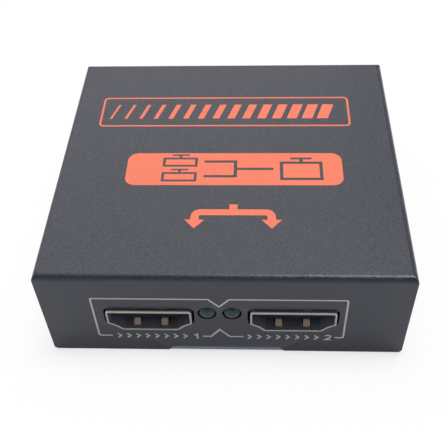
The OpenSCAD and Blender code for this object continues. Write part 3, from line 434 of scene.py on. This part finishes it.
# Framed row of leaning bars near the back edge, each thinner than the one before.
row_left, row_right, row_low, row_high = -26.1, 23.8, 8.9, 17.76
row_margin, row_lean = 2.2, 1.4
border = rounded([(row_left, row_low), (row_right, row_low), (row_right, row_high), (row_left, row_high)], 0.8)
bar_x = np.linspace(row_right - 4.2, row_left + 2.2, 15)
bar_w = np.linspace(2.3, 0.5, 15)
bars = [(np.array([(x - w, row_low + row_margin), (x - w + row_lean, row_high - row_margin)]),
         np.array([(x, row_low + row_margin), (x + row_lean, row_high - row_margin)]), False)
        for x, w in zip(bar_x, bar_w)]
printed("top_row_print", [stroke(border, 0.45, True), *bars], TOP, orange_ink)


def bar_print(name, middle, size, radius, gaps, look):
    """A printed bar with square-cornered gaps where the coat shows through: a grid whose lines are the gaps' edges,
    with the cells inside a gap left out. Its end columns follow the rounded ends: half the length less the radius,
    plus the root of the radius squared less the height above the arc's start squared."""
    half_w, half_h = np.array(size) / 2
    gaps = np.asarray(gaps, float)
    arc = half_h - radius + radius * np.sin(np.linspace(0, pi / 2, 9))
    y = np.unique(np.round(np.concatenate([arc, -arc, gaps[:, 2:].ravel()]), 4))
    x = np.unique(np.round(np.concatenate([[radius - half_w, half_w - radius], gaps[:, :2].ravel()]), 4))
    end = half_w - radius + np.sqrt(np.maximum(radius ** 2 - np.maximum(abs(y) - half_h + radius, 0) ** 2, 0))
    inner = np.repeat(x[None], len(y), 0)
    lines = np.concatenate([-end[:, None] - 1e-3, inner, end[:, None] + 1e-3], 1)
    points = np.stack([middle[0] + lines, middle[1] + np.repeat(y[:, None], lines.shape[1], 1),
                       np.full(lines.shape, top_z + INK)], -1)
    mid_x = np.concatenate([[-half_w], (x[1:] + x[:-1]) / 2, [half_w]])
    mid_y = (y[1:] + y[:-1]) / 2
    inside = ((mid_x[None, :, None] > gaps[:, 0]) & (mid_x[None, :, None] < gaps[:, 1])
              & (mid_y[:, None, None] > gaps[:, 2]) & (mid_y[:, None, None] < gaps[:, 3])).any(-1)
    i, j = np.nonzero(~inside)
    n = lines.shape[1]
    faces = np.stack([i * n + j, i * n + j + 1, (i + 1) * n + j + 1, (i + 1) * n + j], -1)
    made = piece(name, points.reshape(-1, 3), faces, look, smooth=False)
    film = made.modifiers.new("film", "SOLIDIFY")
    film.thickness, film.offset = (INK + SUNK) * MM, -1


def screen(x, y, w, h, line):
    """Gaps that draw a plain screen on its foot: four sides of an outline, a neck and a foot towards the back."""
    left, right, low, high = x - w / 2, x + w / 2, y - h / 2, y + h / 2
    return [(left, right, low, low + line), (left, right, high - line, high), (left, left + line, low, high),
            (right - line, right, low, high), (x - line / 2, x + line / 2, high, high + line),
            (x - w / 4, x + w / 4, high + line, high + 1.8 * line)]


# The bar shows one screen that feeds two, read from the back like the rest of the top.
PEN, split_x, split_y = 0.62, 0.6, 2.0
branch = [(split_x, 7.4, -PEN / 2, PEN / 2), (split_x - PEN, split_x, -split_y - PEN / 2, split_y + PEN / 2),
          (-5.6, split_x - PEN, split_y - PEN / 2, split_y + PEN / 2),
          (-5.6, split_x - PEN, -split_y - PEN / 2, -split_y + PEN / 2)]
bar_print("top_bar_print", (1.18, -3.65), (40.5, 8.74), 2.0,
          [*screen(12.6, -0.5, 8.0, 5.0, PEN), *screen(-10.2, 1.85, 6.6, 2.5, PEN * 0.8),
           *screen(-10.2, -2.15, 6.6, 2.5, PEN * 0.8), *branch], orange_ink)


# ---------------------------------------------------------------- studio, in metres

MIRRORED = 0.3                   # share of plain white that the floor shows in a reflection
WHITE, WHITENS = 0.81, 0.062     # the same to the eye at 1 mm from the case's foot, and its gain with the logarithm
CLOSEST = 0.1                    # mm added to that distance, so that its logarithm stays finite


def sweep_floor():
    """A white table that curves up all round: at ring s and angle t, the radius runs out flat, turns up through a
    quarter circle of 0.6 m and ends in a low wall."""
    bend = np.linspace(0, pi / 2, 9)
    r = np.concatenate([[0.001, 0.05, 0.12, 0.3, 0.8], 1.4 + 0.6 * np.sin(bend), [2.0]])
    z = np.concatenate([np.zeros(5), 0.6 * (1 - np.cos(bend)), [0.9]]) - 0.02 * MM
    turns = 64
    t = np.linspace(0, 2 * pi, turns, endpoint=False)
    points = np.stack([r[:, None] * np.cos(t), r[:, None] * np.sin(t), np.repeat(z[:, None], turns, 1)], -1)
    quads = ring_quads(len(r), turns)[:, [0, 3, 2, 1]]
    mesh = bpy.data.meshes.new("studio_floor")
    mesh.from_pydata(points.reshape(-1, 3).tolist(), [], [*quads.tolist(), list(range(turns))])
    mesh.polygons.foreach_set("use_smooth", np.ones(len(mesh.polygons), bool))
    # Matt white paper: shows white to the eye and in reflections, and keeps a share of the object's shadow. That
    # share falls with the logarithm of the distance from the case's foot, so the line of contact stays dark.
    paper = bpy.data.materials.new("white_paper_sweep")
    paper.use_nodes = True
    tree = paper.node_tree
    tree.nodes.remove(tree.nodes["Principled BSDF"])
    path = add(tree, "LightPath")
    mirrored = add(tree, "Math", {0: path.outputs["Is Glossy Ray"], 1: path.outputs["Is Transmission Ray"]},
                   operation="ADD")
    share = add(tree, "Math", {0: mirrored.outputs[0], 1: MIRRORED}, operation="MULTIPLY")
    low, high = np.array(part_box("top_cover"))
    past = add(tree, "VectorMath", {0: add(tree, "TexCoord").outputs["Object"], 1: tuple((low + high) / 2)},
               operation="SUBTRACT")
    past = add(tree, "VectorMath", {0: past.outputs[0]}, operation="ABSOLUTE")
    past = add(tree, "VectorMath", {0: past.outputs[0], 1: (*(high - low)[:2] / 2, 1.0)}, operation="SUBTRACT")
    past = add(tree, "VectorMath", {0: past.outputs[0], 1: (0.0, 0.0, 0.0)}, operation="MAXIMUM")
    past = add(tree, "VectorMath", {0: past.outputs[0]}, operation="LENGTH")
    past = add(tree, "Math", {0: past.outputs["Value"], 1: 1 / MM, 2: CLOSEST}, operation="MULTIPLY_ADD")
    past = add(tree, "Math", {0: past.outputs[0], 1: np.e}, operation="LOGARITHM")
    white = add(tree, "Math", {0: past.outputs[0], 1: WHITENS, 2: WHITE}, operation="MULTIPLY_ADD", use_clamp=True)
    share = add(tree, "Math", {0: path.outputs["Is Camera Ray"], 1: white.outputs[0], 2: share.outputs[0]},
                operation="MULTIPLY_ADD", use_clamp=True)
    matt = add(tree, "BsdfDiffuse", {"Color": linear("#f4f4f4")})
    lit = add(tree, "Emission", {"Color": (1, 1, 1, 1), "Strength": 1.0})
    both = add(tree, "MixShader", {0: share.outputs[0], 1: matt.outputs[0], 2: lit.outputs[0]})
    tree.links.new(both.outputs[0], tree.nodes["Material Output"].inputs["Surface"])
    mesh.materials.append(paper)
    floor = bpy.data.objects.new("studio_floor", mesh)
    bpy.context.scene.collection.objects.link(floor)


def softbox(name, place, aim, size, radiance):
    """An area lamp at place, turned to aim; its power is radiance times pi times its area."""
    data = bpy.data.lights.new(name, "AREA")
    data.shape, data.size, data.size_y = "RECTANGLE", *size
    data.energy = radiance * pi * size[0] * size[1]
    lamp = bpy.data.objects.new(name, data)
    back = np.array(place, float) - aim
    back /= np.linalg.norm(back)
    across = np.cross((0, 0, 1), back)
    across /= np.linalg.norm(across)
    turn = np.eye(4)
    turn[:3, 0], turn[:3, 1], turn[:3, 2], turn[:3, 3] = across, np.cross(back, across), back, place
    lamp.matrix_world = Matrix(turn.tolist())
    lamp.visible_camera = False
    bpy.context.scene.collection.objects.link(lamp)


def studio_world(grey, dark, toward, spread, cool):
    """An even dim room round the lamps, darker towards the photographer: the shade falls off with the power spread
    of the cosine of the angle to that direction. Its blue is cool times its red and green."""
    world = bpy.data.worlds.new("studio_room")
    world.use_nodes = True
    tree = world.node_tree
    look = add(tree, "TexCoord").outputs["Generated"]
    facing = add(tree, "VectorMath", {0: look, 1: toward / np.linalg.norm(toward)}, operation="DOT_PRODUCT")
    facing = add(tree, "Math", {0: facing.outputs["Value"], 1: 0.0}, operation="MAXIMUM")
    shade = add(tree, "Math", {0: facing.outputs[0], 1: spread}, operation="POWER")
    level = add(tree, "MapRange", {"Value": shade.outputs[0], "To Min": grey, "To Max": dark})
    blue = add(tree, "Math", {0: level.outputs[0], 1: cool}, operation="MULTIPLY")
    tint = add(tree, "CombineColor", {"Red": level.outputs[0], "Green": level.outputs[0], "Blue": blue.outputs[0]})
    tree.links.new(tint.outputs[0], tree.nodes["Background"].inputs["Color"])
    bpy.context.scene.world = world


def studio_camera(place, yaw, pitch, roll, lens):
    """A camera at place in mm, turned yaw to the right of +Y, pitched down and rolled, in degrees."""
    y, p, r = radians(yaw), radians(pitch), radians(roll)
    ahead = np.array([sin(y) * cos(p), cos(y) * cos(p), -sin(p)])
    level = np.array([cos(y), -sin(y), 0])
    over = np.cross(level, ahead)
    turn = np.eye(4)
    turn[:3, 0], turn[:3, 1] = cos(r) * level + sin(r) * over, cos(r) * over - sin(r) * level
    turn[:3, 2], turn[:3, 3] = -ahead, np.array(place) * MM
    data = bpy.data.cameras.new("photo_camera")
    data.lens, data.sensor_width, data.clip_start = lens, 36.0, 0.005
    camera = bpy.data.objects.new("photo_camera", data)
    camera.matrix_world = Matrix(turn.tolist())
    bpy.context.scene.collection.objects.link(camera)
    bpy.context.scene.camera = camera


sweep_floor()
studio_world(grey=0.46, dark=0.07, toward=np.array([0.0, -0.75, 0.66]), spread=6.0, cool=1.2)
softbox("back_softbox", place=(-0.36, 0.75, 0.95), aim=(0, 0, 0), size=(1.6, 1.2), radiance=1.24)
softbox("overhead_softbox", place=(0.22, 0.14, 0.9), aim=(0, 0, 0), size=(0.24, 0.2), radiance=26.0)
studio_camera((5.864, -104.162, 115.587), yaw=-4.0023, pitch=47.4288, roll=-2.7177, lens=58.981)
bpy.context.scene.view_settings.view_transform = "Standard"
